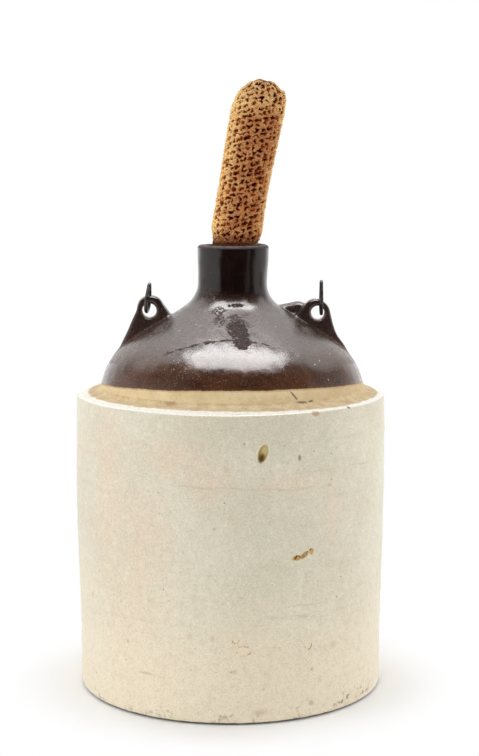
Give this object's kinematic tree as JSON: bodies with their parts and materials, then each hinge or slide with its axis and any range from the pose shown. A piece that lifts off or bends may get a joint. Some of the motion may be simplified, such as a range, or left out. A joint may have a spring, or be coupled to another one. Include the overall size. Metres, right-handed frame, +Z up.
{
  "type": "stoneware jug",
  "caption": "Straight-sided stoneware shoulder jug with a domed top, short neck, pierced ears holding wire loops, and a corn-cob stopper.",
  "frame": {"origin": "centre of the jug's flat foot, on the surface it stands on", "axes": "+Z up along the body; +X towards the right ear, the way the cob leans; the jug is seen from the front along +Y"},
  "size_m": [0.18, 0.18, 0.3571],
  "materials": {
    "stoneware": "gloss glaze: cream body, bare tan band under the dome, dark brown dome and neck",
    "wire": "dull dark iron wire",
    "corn_cob": "dry matte cob with dark kernel sockets"
  },
  "bodies": {
    "root": {"stoneware_jug": "stoneware", "wire_loop_left": "wire", "wire_loop_right": "wire", "corn_cob_stopper": "corn_cob"}
  },
  "joints": []
}
